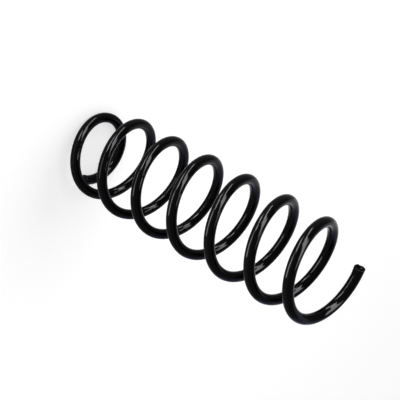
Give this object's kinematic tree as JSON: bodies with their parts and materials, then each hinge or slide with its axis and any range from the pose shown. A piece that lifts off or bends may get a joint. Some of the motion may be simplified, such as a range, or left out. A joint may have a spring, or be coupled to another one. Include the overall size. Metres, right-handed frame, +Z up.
{
  "type": "helical compression spring",
  "caption": "Right-hand helical compression spring of round bar with a narrowed, flat lower coil and an open upper end, coated gloss black.",
  "frame": {"origin": "on the coil axis, in the plane that the flat lower coil stands on", "axes": "+Z up along the coil axis; +X through the lower tip of the bar; the bar climbs anticlockwise seen from above"},
  "size_m": [0.1162, 0.1162, 0.3688],
  "materials": {
    "black_gloss_coat": "gloss"
  },
  "bodies": {
    "root": {"coil_spring": "black_gloss_coat"}
  },
  "joints": []
}
